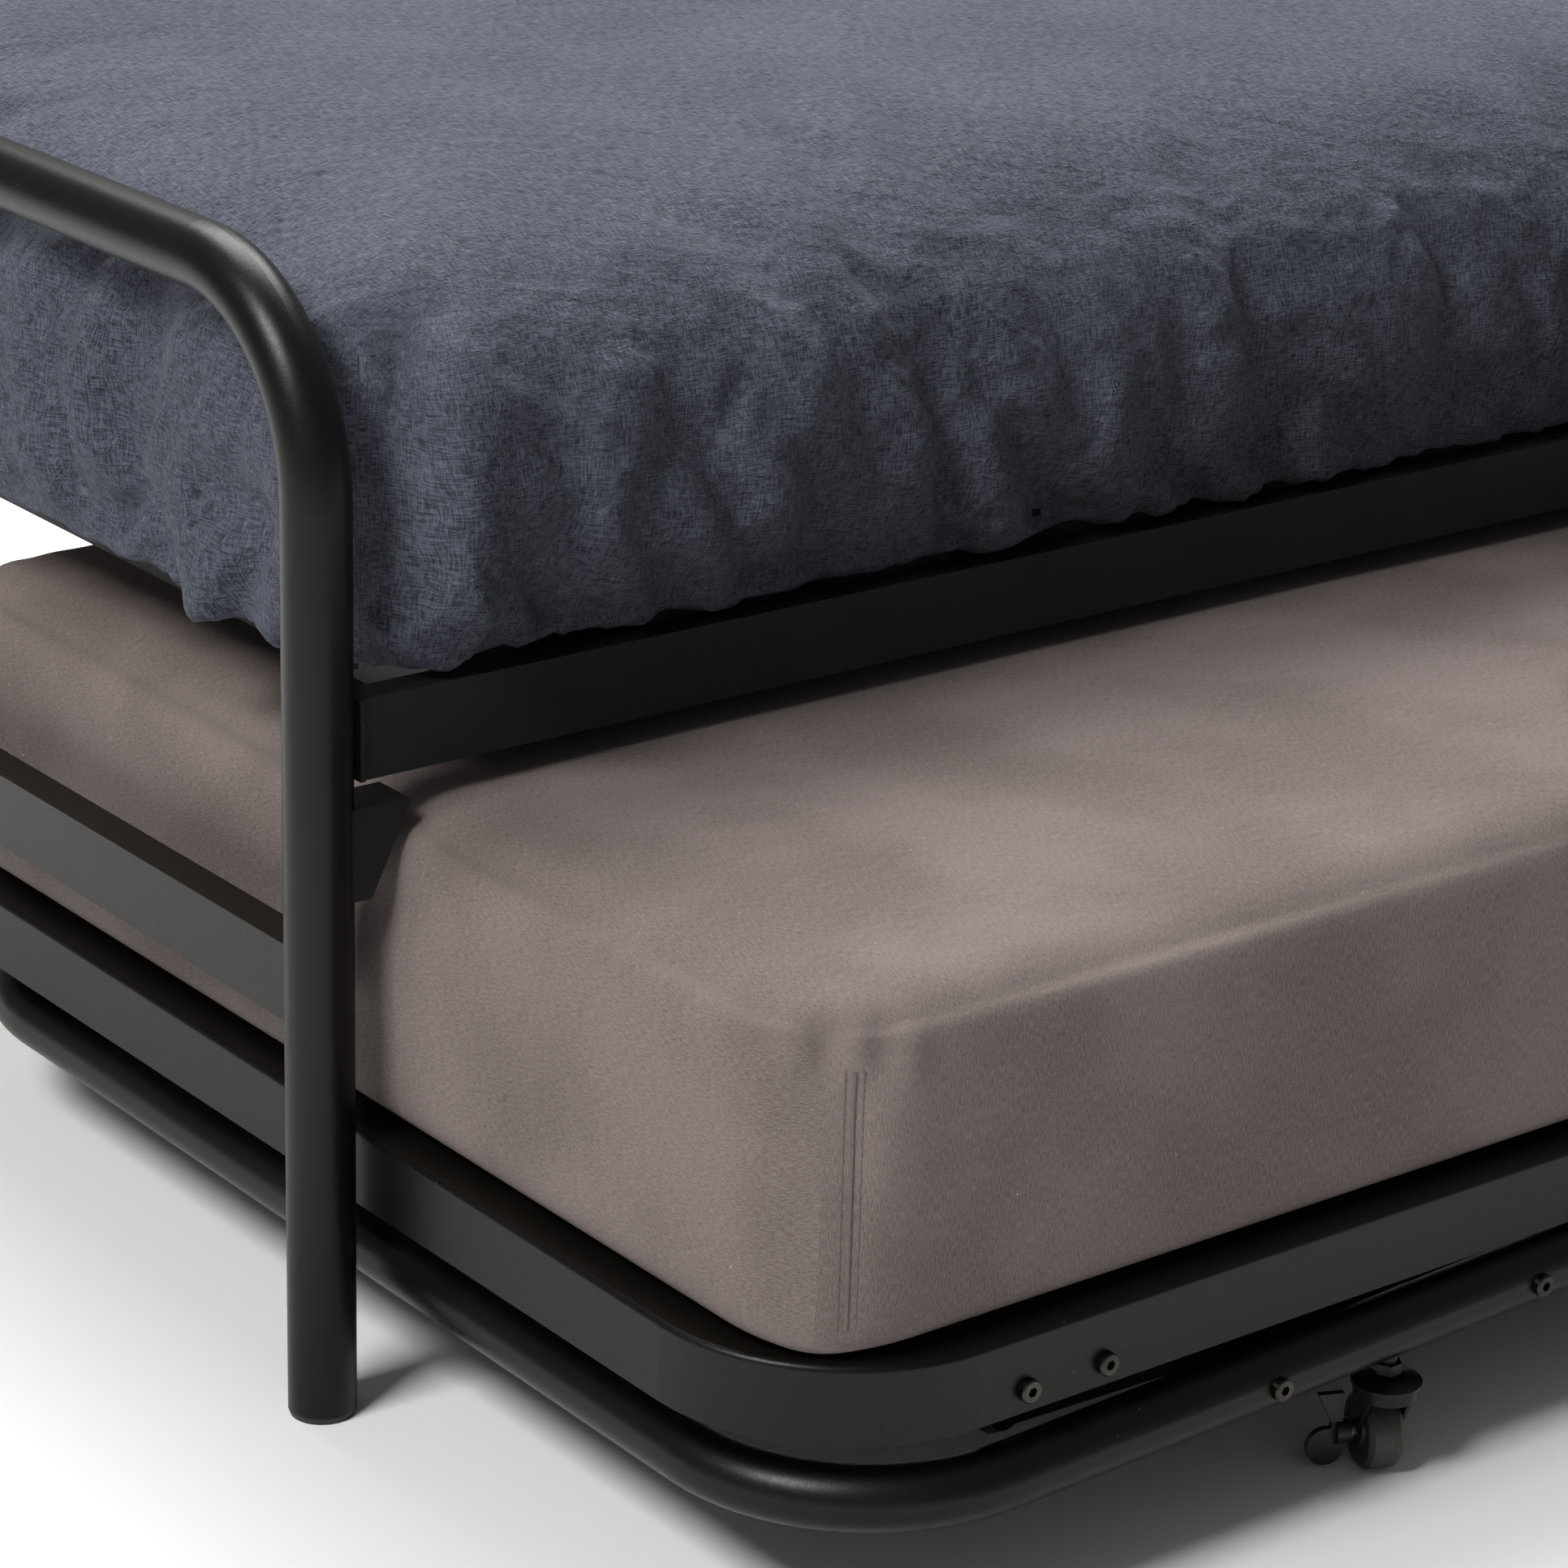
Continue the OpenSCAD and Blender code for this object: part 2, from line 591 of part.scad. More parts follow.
in_frame() end_hoop_left();
in_frame() right_end() end_hoop_left();  // end_hoop_right
in_frame() lower_end_rail_left();
in_frame() right_end() lower_end_rail_left();  // lower_end_rail_right
in_frame() side_rail_front();
in_frame() bed_rear() side_rail_front();  // side_rail_rear
in_frame() base_cross_rail_left();
in_frame() right_end() base_cross_rail_left();  // base_cross_rail_right
in_frame() base_slats();
in_frame() bed_mattress();
in_frame() duvet();
in_frame() base_tube_left();
in_frame() right_end() base_tube_left();  // base_tube_right
in_frame() tube_joiners();
in_frame() rest_sleeves();
in_frame() base_bolts();
in_frame() lower_link_pins();
in_frame() caster_stems();
in_frame() deck_frame();
in_frame() deck_slats();
in_frame() deck_bolts();
in_frame() upper_link_pins();
in_frame() trundle_mattress();
for (side = SIDES) {
    in_frame() bed_corner(side) foot_plug();
    in_frame() bed_corner(side) post_gusset();
    in_frame() trundle_corner(side) base_bracket(side);
    in_frame() trundle_corner(side) deck_bracket(side);
    in_frame() trundle_corner(side) lift_link(side);
    in_frame() at_caster(side) caster_fork();
    in_frame() at_caster(side) caster_axle();
    in_frame() at_caster(side) caster_wheel();
    in_frame() at_caster(side) brake_pedal();
}
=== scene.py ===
"""Looks of a tube-steel daybed with a trundle bed that rolls out from under it.

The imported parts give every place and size. This script dresses the steel, the
fasteners and the casters, and makes the bedding: a duvet tucked round the upper
mattress and a fitted sheet pulled over the trundle's mattress.
All lengths are in metres.
"""

from __future__ import annotations

import json
import logging
import math
from dataclasses import dataclass, field
from enum import Enum

import bmesh
import bpy
import numpy as np
from mathutils import Matrix, Vector, noise


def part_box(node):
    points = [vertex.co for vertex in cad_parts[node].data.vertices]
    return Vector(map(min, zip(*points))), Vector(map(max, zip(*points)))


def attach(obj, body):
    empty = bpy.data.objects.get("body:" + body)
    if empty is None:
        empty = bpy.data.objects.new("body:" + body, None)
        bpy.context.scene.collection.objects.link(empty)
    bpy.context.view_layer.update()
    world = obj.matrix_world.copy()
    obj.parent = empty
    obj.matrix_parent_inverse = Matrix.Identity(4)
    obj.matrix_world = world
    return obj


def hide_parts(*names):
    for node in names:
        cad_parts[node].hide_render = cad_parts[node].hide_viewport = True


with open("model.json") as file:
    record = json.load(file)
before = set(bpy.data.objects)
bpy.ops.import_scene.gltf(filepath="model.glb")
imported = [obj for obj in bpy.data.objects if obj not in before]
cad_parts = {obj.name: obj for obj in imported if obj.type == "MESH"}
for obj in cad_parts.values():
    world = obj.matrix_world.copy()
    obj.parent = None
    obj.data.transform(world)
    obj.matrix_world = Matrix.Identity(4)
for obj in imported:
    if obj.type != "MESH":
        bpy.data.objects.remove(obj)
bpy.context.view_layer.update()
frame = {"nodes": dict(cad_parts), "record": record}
LOG = logging.getLogger("daybed")
Colour = tuple[float, float, float, float]
Triple = tuple[float, float, float]


class Side(Enum):
    """The faces of a block of bedding."""

    LEFT = 0
    RIGHT = 1
    FRONT = 2
    REAR = 3
    BOTTOM = 4
    TOP = 5


# ---------------------------------------------------------------- shader tools


class Value:
    """A shader socket that takes part in Python expressions."""

    def __init__(self, shader: "Shader", socket: bpy.types.NodeSocket) -> None:
        """Wraps a socket of a shader's node."""
        self.shader = shader
        self.socket = socket

    def _math(self, operation: str, first: object, second: object = 0.0) -> "Value":
        """Adds a Math node and returns its result."""
        node = self.shader.add("ShaderNodeMath", {"operation": operation}, {0: first, 1: second})
        return Value(self.shader, node.outputs[0])

    def __add__(self, other: object) -> "Value":
        """Sum of the two."""
        return self._math("ADD", self, other)

    def __sub__(self, other: object) -> "Value":
        """This less the other."""
        return self._math("SUBTRACT", self, other)

    def __rsub__(self, other: object) -> "Value":
        """The other less this."""
        return self._math("SUBTRACT", other, self)

    def __mul__(self, other: object) -> "Value":
        """Product of the two."""
        return self._math("MULTIPLY", self, other)

    def __abs__(self) -> "Value":
        """This without its sign."""
        return self._math("ABSOLUTE", self)

    __radd__ = __add__
    __rmul__ = __mul__

    def smooth(self, low: float, high: float) -> "Value":
        """Goes smoothly from 0 at low to 1 at high.

        Args:
            low: the value that gives 0.
            high: the value that gives 1.

        Returns:
            The eased value, from 0 to 1.
        """
        node = self.shader.add(
            "ShaderNodeMapRange", {"interpolation_type": "SMOOTHSTEP"}, {0: self, 1: low, 2: high}
        )
        return Value(self.shader, node.outputs[0])


class Shader:
    """A node material in the making."""

    def __init__(self, name: str) -> None:
        """Starts a material with a Principled shader."""
        self.material = bpy.data.materials.new(name)
        self.material.use_nodes = True
        self.tree = self.material.node_tree
        self.surface = self.tree.nodes["Principled BSDF"]
        self.coords = Value(self, self.add("ShaderNodeTexCoord").outputs["Object"])

    def add(
        self, kind: str, settings: dict | None = None, values: dict | None = None
    ) -> bpy.types.Node:
        """Adds a node.

        Args:
            kind: the node's type.
            settings: its properties, such as an operation, which are set first.
            values: numbers, colours or Values for its input sockets, by name or number.

        Returns:
            The new node.
        """
        node = self.tree.nodes.new(kind)
        for key, setting in (settings or {}).items():
            setattr(node, key, setting)
        for key, value in (values or {}).items():
            if isinstance(value, Value):
                self.tree.links.new(value.socket, node.inputs[key])
            else:
                node.inputs[key].default_value = value
        return node

    def uv(self) -> Value:
        """The piece's own cloth map, in metres of cloth."""
        return Value(self, self.add("ShaderNodeUVMap", {"uv_map": "cloth"}).outputs[0])

    def stretched(self, coords: Value, scale: Triple, turn: float = 0.0) -> Value:
        """Coordinates scaled along each axis.

        Args:
            coords: the coordinates to scale.
            scale: the factor along X, Y and Z.
            turn: rotation about Z in radians, before the scaling.

        Returns:
            The scaled coordinates.
        """
        if turn:
            turned = {"Vector": coords, "Rotation": (0.0, 0.0, turn)}
            spun = self.add("ShaderNodeMapping", None, turned)
            coords = Value(self, spun.outputs[0])
        node = self.add("ShaderNodeMapping", None, {"Vector": coords, "Scale": scale})
        return Value(self, node.outputs[0])

    def noise(self, coords: Value, scale: float, detail: float = 2.0, rough: float = 0.5) -> Value:
        """Smooth noise from 0 to 1, about 0.5."""
        node = self.add(
            "ShaderNodeTexNoise", None,
            {"Vector": coords, "Scale": scale, "Detail": detail, "Roughness": rough},
        )
        return Value(self, node.outputs["Fac"])

    def cells(self, coords: Value, scale: float) -> Value:
        """Distance to the nearest of scattered points."""
        node = self.add("ShaderNodeTexVoronoi", None, {"Vector": coords, "Scale": scale})
        return Value(self, node.outputs["Distance"])

    def mix(self, factor: Value, dark: object, light: object) -> Value:
        """Mixes two colours, which may be Values, by a factor."""
        node = self.add("ShaderNodeMix", {"data_type": "RGBA"}, {0: factor, 6: dark, 7: light})
        return Value(self, node.outputs[2])

    def bump(
        self, height: Value, depth: float, strength: float = 1.0, over: Value | None = None
    ) -> Value:
        """A bumped normal.

        Args:
            height: the relief, from 0 to 1.
            depth: its depth in metres.
            strength: how much of it shows.
            over: a normal that it lies on.

        Returns:
            The normal.
        """
        values = {"Height": height, "Distance": depth, "Strength": strength}
        if over is not None:
            values["Normal"] = over
        return Value(self, self.add("ShaderNodeBump", None, values).outputs[0])

    def finish(self, fixed: dict, varied: dict) -> bpy.types.Material:
        """Sets the surface's sockets and returns the material.

        Args:
            fixed: values that are the same all over.
            varied: Values that change over the surface.

        Returns:
            The finished material.
        """
        for key, value in fixed.items():
            self.surface.inputs[key].default_value = value
        for key, value in varied.items():
            self.tree.links.new(value.socket, self.surface.inputs[key])
        return self.material


def rgba(red: float, green: float, blue: float) -> Colour:
    """An opaque colour from screen values of 0 to 255."""
    linear = [
        ((c / 255 + 0.055) / 1.055) ** 2.4 if c > 10 else c / 255 / 12.92
        for c in (red, green, blue)
    ]
    return (*linear, 1.0)


# -------------------------------------------------------------------- finishes


@dataclass(frozen=True)
class PowderCoat:
    """Baked satin powder coat with orange peel, dust specks and rubbed marks."""

    name: str
    tone: Colour
    worn: Colour
    roughness: float = 0.4
    peel: float = 0.00006
    peel_scale: float = 700.0
    speck_scale: float = 55.0
    cloud_scale: float = 9.0
    scratch_scale: float = 1.3
    patch_scale: float = 14.0
    gloss: float = 0.24

    def make(self) -> bpy.types.Material:
        """Builds the material."""
        s = Shader(self.name)
        grain = s.noise(s.coords, self.peel_scale, 3.0, 0.6)
        cloud = s.noise(s.coords, self.cloud_scale, 3.0)
        specks = 1.0 - s.cells(s.coords, self.speck_scale).smooth(0.02, 0.035)
        drawn_out = s.stretched(s.coords, (6.0, 90.0, 90.0))
        scratch_lines = 1.0 - s.cells(drawn_out, self.scratch_scale).smooth(0.012, 0.02)
        rare = s.noise(s.coords, self.patch_scale, 2.0).smooth(0.66, 0.72)
        marks = scratch_lines * rare + specks * 0.55
        lighter = tuple(c * 1.5 for c in self.tone[:3]) + (1.0,)
        colour = s.mix(cloud.smooth(0.3, 0.7), self.tone, lighter)
        colour = s.mix(marks * 0.5, colour, self.worn)
        rough = cloud * 0.10 + (self.roughness - 0.05) + (grain - 0.5) * 0.25
        normal = s.bump(grain, self.peel)
        return s.finish(
            {"Specular IOR Level": self.gloss},
            {"Base Color": colour, "Roughness": rough, "Normal": normal},
        )


@dataclass(frozen=True)
class PlainMetal:
    """Bare or plated steel with drawn marks."""

    name: str
    tone: Colour
    roughness: float = 0.32
    metallic: float = 1.0

    def make(self) -> bpy.types.Material:
        """Builds the material."""
        s = Shader(self.name)
        drawn = s.noise(s.stretched(s.coords, (1.0, 1.0, 12.0)), 600.0, 3.0)
        stain = s.noise(s.coords, 60.0, 3.0)
        dark = tuple(c * 0.6 for c in self.tone[:3]) + (1.0,)
        colour = s.mix(stain.smooth(0.35, 0.65), dark, self.tone)
        return s.finish(
            {"Metallic": self.metallic},
            {"Base Color": colour, "Roughness": drawn * 0.2 + (self.roughness - 0.1),
             "Normal": s.bump(drawn, 0.00002)},
        )


@dataclass(frozen=True)
class Moulding:
    """Moulded plastic or rubber with a fine spark-eroded grain."""

    name: str
    tone: Colour
    roughness: float = 0.5
    grain: float = 0.00003

    def make(self) -> bpy.types.Material:
        """Builds the material."""
        s = Shader(self.name)
        grain = s.noise(s.coords, 1500.0, 2.0)
        scuffs = s.noise(s.stretched(s.coords, (3.0, 3.0, 1.0)), 130.0, 4.0, 0.7)
        dusty = tuple(min(1.0, c * 2.2 + 0.012) for c in self.tone[:3]) + (1.0,)
        colour = s.mix(scuffs.smooth(0.52, 0.75), self.tone, dusty)
        return s.finish(
            {}, {"Base Color": colour, "Roughness": scuffs * 0.25 + (self.roughness - 0.1),
                 "Normal": s.bump(grain, self.grain)},
        )


@dataclass(frozen=True)
class WashedCotton:
    """Stone-washed slub cotton: uneven threads both ways, faded where it creases."""

    name: str
    tone: Colour
    faded: Colour
    threads: float = 1150.0
    slubs: float = 260.0
    wash_scale: float = 5.0
    crinkle_scale: float = 30.0
    crinkle_depth: float = 0.006
    crease_width: float = 0.03
    crease_depth: float = 0.0016
    weave_depth: float = 0.0006

    def make(self) -> bpy.types.Material:
        """Builds the material."""
        s = Shader(self.name)
        cloth = s.uv()
        warp = s.noise(s.stretched(cloth, (1.0, 0.09, 1.0)), self.threads, 2.0, 0.6)
        weft = s.noise(s.stretched(cloth, (0.09, 1.0, 1.0)), self.threads, 2.0, 0.6)
        slub = s.noise(cloth, self.slubs, 3.0, 0.7)
        weave = (warp + weft) * 0.5
        wash = s.noise(cloth, self.wash_scale, 4.0, 0.6)
        crinkle = s.noise(s.stretched(cloth, (1.0, 2.2, 1.0), 0.6), self.crinkle_scale, 4.0, 0.62)
        crease = 1.0 - abs(crinkle - 0.5).smooth(0.0, self.crease_width)
        fade = weave.smooth(0.40, 0.60) * 0.6 + wash.smooth(0.3, 0.75) * 0.2
        fade = fade + slub.smooth(0.5, 0.65) * 0.2
        colour = s.mix(fade, self.tone, self.faded)
        colour = s.mix(crease * 0.12, colour, rgba(122, 126, 138))
        normal = s.bump(crease, self.crease_depth, 0.5, s.bump(crinkle, self.crinkle_depth, 0.5))
        normal = s.bump(weave * 0.7 + slub * 0.3, self.weave_depth, 0.6, normal)
        return s.finish(
            {"Roughness": 0.85, "Sheen Weight": 0.08, "Sheen Roughness": 0.45,
             "Specular IOR Level": 0.15, "Sheen Tint": rgba(190, 194, 204)},
            {"Base Color": colour, "Normal": normal},
        )


@dataclass(frozen=True)
class Jersey:
    """Stretched single jersey: fine knitted ribs, a soft nap and stray lint."""

    name: str
    tone: Colour
    deep: Colour
    ribs: float = 1700.0
    nap_scale: float = 1100.0
    tone_scale: float = 7.0
    pull_scale: float = 9.0
    lint_scale: float = 26.0
    pull_depth: float = 0.004
    knit_depth: float = 0.0004

    def make(self) -> bpy.types.Material:
        """Builds the material."""
        s = Shader(self.name)
        cloth = s.uv()
        rib = s.noise(s.stretched(cloth, (1.0, 0.12, 1.0)), self.ribs, 1.0)
        nap = s.noise(cloth, self.nap_scale, 2.0, 0.7)
        tone = s.noise(cloth, self.tone_scale, 3.0)
        pull = s.noise(s.stretched(cloth, (1.0, 3.5, 1.0), 0.25), self.pull_scale, 3.0)
        fibres = s.cells(s.stretched(cloth, (1.0, 1.6, 1.0), 0.8), self.lint_scale)
        lint = 1.0 - fibres.smooth(0.018, 0.03)
        shade = rib.smooth(0.4, 0.6) * 0.35 + nap.smooth(0.4, 0.6) * 0.35
        shade = shade + tone.smooth(0.35, 0.65) * 0.3
        colour = s.mix(shade, self.deep, self.tone)
        colour = s.mix(lint * 0.45, colour, rgba(190, 184, 181))
        normal = s.bump(pull, self.pull_depth, 0.18)
        normal = s.bump(rib * 0.5 + nap * 0.5, self.knit_depth, 0.55, normal)
        return s.finish(
            {"Roughness": 0.9, "Sheen Weight": 0.06, "Sheen Roughness": 0.5,
             "Specular IOR Level": 0.15, "Sheen Tint": rgba(205, 196, 192)},
            {"Base Color": colour, "Normal": normal},
        )


@dataclass(frozen=True)
class Ticking:
    """Off-white mattress ticking with a narrow woven stripe."""

    name: str
    tone: Colour
    stripe: Colour
    stripe_scale: float = 18.0
    weave_scale: float = 900.0

    def make(self) -> bpy.types.Material:
        """Builds the material."""
        s = Shader(self.name)
        band = s.add("ShaderNodeTexWave", {"wave_type": "BANDS", "bands_direction": "X"},
                     {"Vector": s.coords, "Scale": self.stripe_scale, "Distortion": 0.0})
        weave = s.noise(s.coords, self.weave_scale, 2.0)
        stripes = Value(s, band.outputs["Fac"]).smooth(0.9, 0.96)
        colour = s.mix(stripes, self.tone, self.stripe)
        normal = s.bump(weave, 0.0004, 0.6)
        return s.finish({"Roughness": 0.9}, {"Base Color": colour, "Normal": normal})


FINISHES = {
    "powder_coat": PowderCoat("satin_powder_coat", rgba(9, 7, 5), rgba(120, 116, 110), 0.36),
    # Second copy of the same black powder coat, with its tone set so the rails come out as bright as
    # they look under the lamps: painted light, not a second paint.
    "dark_coat": PowderCoat("powder_coat_painted_light_copy", rgba(25, 25, 26), rgba(120, 118, 114), 0.45),
    "bolt_black": PlainMetal("black_oxide", rgba(74, 71, 67), 0.30),
    "pin_steel": PlainMetal("zinc_plate", rgba(150, 148, 144), 0.30),
    "plug_plastic": Moulding("plug_plastic", rgba(24, 24, 24), 0.5),
    "rest_rubber": Moulding("rest_rubber", rgba(22, 22, 22), 0.7),
    "caster_steel": PowderCoat(
        "caster_enamel", rgba(26, 26, 27), rgba(120, 118, 114), roughness=0.22, peel=0.00001
    ),
    "wheel_plastic": Moulding("wheel_nylon", rgba(46, 44, 39), 0.42),
    "pedal_plastic": Moulding("pedal_plastic", rgba(22, 22, 23), 0.35),
    "duvet_cloth": WashedCotton("washed_cotton", rgba(34, 36, 44), rgba(95, 99, 112)),
    "sheet_jersey": Jersey("sheet_jersey", rgba(130, 120, 117), rgba(86, 77, 74)),
    "mattress_cloth": Ticking("ticking", rgba(226, 222, 212), rgba(150, 156, 170)),
}


@dataclass
class Wardrobe:
    """Makes each finish once, when it is first asked for."""

    made: dict[str, bpy.types.Material] = field(default_factory=dict)

    def get(self, slot: str) -> bpy.types.Material:
        """The material of a slot."""
        if slot not in self.made:
            self.made[slot] = FINISHES[slot].make()
        return self.made[slot]


# ------------------------------------------------------------------ mesh tools


def ease(low: float, high: float, value: np.ndarray) -> np.ndarray:
    """Smooth step from 0 at low to 1 at high."""
    t = np.clip((value - low) / (high - low), 0.0, 1.0)
    return t * t * (3 - 2 * t)


def perlin(points: np.ndarray, seed: float) -> np.ndarray:
    """Smooth noise, about -1 to 1, at each point."""
    shift = Vector((seed, 1.7 * seed, -seed))
    return np.array([noise.noise(Vector(p) + shift) for p in points])


class Block:
    """A box of bedding as one even grid of quads over its six sides."""

    def __init__(self, name: str, low: Vector, high: Vector, cell: float) -> None:
        """Lays out the grid.

        Args:
            name: the piece's name.
            low: the box's lowest corner.
            high: the box's highest corner.
            cell: about how wide a quad is.
        """
        self.name = name
        self.low = np.array(low)
        self.high = np.array(high)
        self.size = self.high - self.low
        self.steps = np.maximum(2, np.round(self.size / cell)).astype(int)
        self.index: dict[tuple[int, int, int], int] = {}
        self.quads: list[tuple[int, int, int, int]] = []
        self.sides: list[Side] = []
        self._lay_out()
        self.grid = np.array(list(self.index))
        self.points = self.low + self.grid / self.steps * self.size
        self.flat = self.points.copy()

    def _corner(self, key: tuple[int, int, int]) -> int:
        """The number of a grid point, which is made if it is new."""
        return self.index.setdefault(key, len(self.index))

    def _lay_out(self) -> None:
        """Makes the quads of each side, all facing outwards."""
        for side in Side:
            axis, far = divmod(side.value, 2)
            across, along = [a for a in range(3) if a != axis]
            for i in range(self.steps[across]):
                for j in range(self.steps[along]):
                    ring = []
                    for di, dj in ((0, 0), (1, 0), (1, 1), (0, 1)):
                        key = [0, 0, 0]
                        key[axis] = int(self.steps[axis]) if far else 0
                        key[across], key[along] = i + di, j + dj
                        ring.append(self._corner(tuple(key)))
                    outward = (axis != 1) == bool(far)
                    self.quads.append(tuple(ring if outward else ring[::-1]))
                    self.sides.append(side)

    def round_off(self, top: float, bottom: float) -> np.ndarray:
        """Rounds every edge, with a radius that goes from bottom to top.

        Args:
            top: the radius at the top.
            bottom: the radius at the bottom.

        Returns:
            The outward direction at each point.
        """
        height = (self.points[:, 2] - self.low[2]) / self.size[2]
        radius = (bottom + (top - bottom) * ease(0.1, 0.8, height))[:, None]
        core = np.clip(self.points, self.low + radius, self.high - radius)
        out = self.points - core
        out /= np.linalg.norm(out, axis=1)[:, None]
        self.points = core + out * radius
        return out

    def round_plan(self, radius: float) -> None:
        """Rounds the upright corners, as seen from above.

        Args:
            radius: the corner's radius in plan.
        """
        middle = (self.low + self.high)[:2] / 2
        reach = self.size[:2] / 2 - radius
        away = self.points[:, :2] - middle
        over = np.clip((np.abs(away) - reach) / radius, 0, 1)
        bent = over * np.sqrt(1 - over[:, ::-1] ** 2 / 2)
        self.points[:, :2] += np.sign(away) * (bent - over) * radius

    def edge_distance(self) -> np.ndarray:
        """How far each point of the flat grid is from the nearest side, in plan."""
        xy = self.flat[:, :2]
        return np.minimum(xy - self.low[:2], self.high[:2] - xy).min(axis=1)

    def cloth_map(self, mesh: bpy.types.Mesh) -> None:
        """Adds a map of the cloth in metres, with the sides folded out round the top."""
        layer = mesh.uv_layers.new(name="cloth")
        drop = self.high[2] - self.flat[:, 2]
        x, y = self.flat[:, 0], self.flat[:, 1]
        maps = {
            Side.TOP: (x, y), Side.BOTTOM: (x, y),
            Side.FRONT: (x, self.low[1] - drop), Side.REAR: (x, self.high[1] + drop),
            Side.LEFT: (self.low[0] - drop, y), Side.RIGHT: (self.high[0] + drop, y),
        }
        for polygon, side in zip(mesh.polygons, self.sides):
            u, v = maps[side]
            for loop in polygon.loop_indices:
                corner = mesh.loops[loop].vertex_index
                layer.data[loop].uv = (u[corner], v[corner])

    def make(self) -> bpy.types.Object:
        """Makes the object."""
        mesh = bpy.data.meshes.new(self.name)
        mesh.from_pydata(self.points.tolist(), [], self.quads)
        self.cloth_map(mesh)
        for polygon in mesh.polygons:
            polygon.use_smooth = True
        obj = bpy.data.objects.new(self.name, mesh)
        bpy.context.scene.collection.objects.link(obj)
        return obj


def vertex_places(mesh: bpy.types.Mesh) -> np.ndarray:
    """The places of a mesh's vertices, one row each."""
    flat = np.zeros(len(mesh.vertices) * 3)
    mesh.vertices.foreach_get("co", flat)
    return flat.reshape(-1, 3)


def move_vertices(mesh: bpy.types.Mesh, places: np.ndarray) -> None:
    """Puts a mesh's vertices at new places."""
    mesh.vertices.foreach_set("co", places.ravel())
    mesh.update()


def vertex_normals(mesh: bpy.types.Mesh) -> np.ndarray:
    """The normals of a mesh's vertices, one row each."""
    flat = np.zeros(len(mesh.vertices) * 3)
    mesh.vertex_normals.foreach_get("vector", flat)
    return flat.reshape(-1, 3)


def blurred(mesh: bpy.types.Mesh, values: np.ndarray, passes: int) -> np.ndarray:
    """Values averaged with their neighbours along the edges, several times over."""
    pairs = np.zeros(len(mesh.edges) * 2, int)
    mesh.edges.foreach_get("vertices", pairs)
    one, two = pairs.reshape(-1, 2).T
    count = np.bincount(one, minlength=len(values)) + np.bincount(two, minlength=len(values))
    result = values.copy()
    for _ in range(passes):
        total = np.zeros_like(result)
        np.add.at(total, one, result[two])
        np.add.at(total, two, result[one])
        result = 0.5 * result + 0.5 * total / count[:, None]
    return result


@dataclass
class ClothPass:
    """A short cloth simulation whose result is kept in the mesh."""

    frames: int
    pressure: float
    slack: float
    taut: float
    swell: float
    gain: float = 1.0
    reach: float = 0.02
    passes: int = 30

    def run(self, obj: bpy.types.Object, pinned: np.ndarray, tight: np.ndarray) -> None:
        """Simulates the cloth and keeps its folds.

        Args:
            obj: the piece.
            pinned: 1 at vertices that are held, 0 elsewhere.
            tight: 1 where the cloth is least slack, 0 where it is most.
        """
        hold = obj.vertex_groups.new(name="hold")
        slack = obj.vertex_groups.new(name="slack")
        for i, (pin, weight) in enumerate(zip(pinned, tight)):
            hold.add([i], float(pin), "REPLACE")
            slack.add([i], float(weight), "REPLACE")
        cloth = obj.modifiers.new("cloth", "CLOTH")
        s = cloth.settings
        s.quality = 5
        s.mass = 0.25
        s.tension_stiffness = s.compression_stiffness = 18
        s.shear_stiffness = 6
        s.bending_stiffness = 0.4
        s.air_damping = 4
        s.vertex_group_mass = "hold"
        s.vertex_group_shrink = "slack"
        s.shrink_min = -self.slack
        s.shrink_max = -self.taut
        s.use_pressure = True
        s.uniform_pressure_force = self.pressure
        s.effector_weights.gravity = 0.0
        cloth.collision_settings.use_collision = False
        cloth.point_cache.frame_end = self.frames
        scene = bpy.context.scene
        start = vertex_places(obj.data)
        for number in range(1, self.frames + 1):
            scene.frame_set(number)
        graph = bpy.context.evaluated_depsgraph_get()
        ended = vertex_places(obj.evaluated_get(graph).data)
        obj.modifiers.remove(cloth)
        scene.frame_set(1)
        for group in (hold, slack):
            obj.vertex_groups.remove(group)
        moved = ended - start
        broad = blurred(obj.data, moved, self.passes)
        fine = (moved - broad) * self.gain
        length = np.linalg.norm(fine, axis=1)[:, None] + 1e-9
        fine *= self.reach * np.tanh(length / self.reach) / length
        length = np.linalg.norm(broad, axis=1)[:, None] + 1e-9
        broad *= self.swell * np.tanh(length / self.swell) / length
        move_vertices(obj.data, start + broad + fine)


def subdivide_once(obj: bpy.types.Object) -> None:
    """Smooths a piece with one applied level of subdivision."""
    modifier = obj.modifiers.new("smooth", "SUBSURF")
    modifier.levels = modifier.render_levels = 1
    graph = bpy.context.evaluated_depsgraph_get()
    mesh = bpy.data.meshes.new_from_object(obj.evaluated_get(graph))
    obj.modifiers.remove(modifier)
    old = obj.data
    obj.data = mesh
    bpy.data.meshes.remove(old)


# --------------------------------------------------------------------- bedding


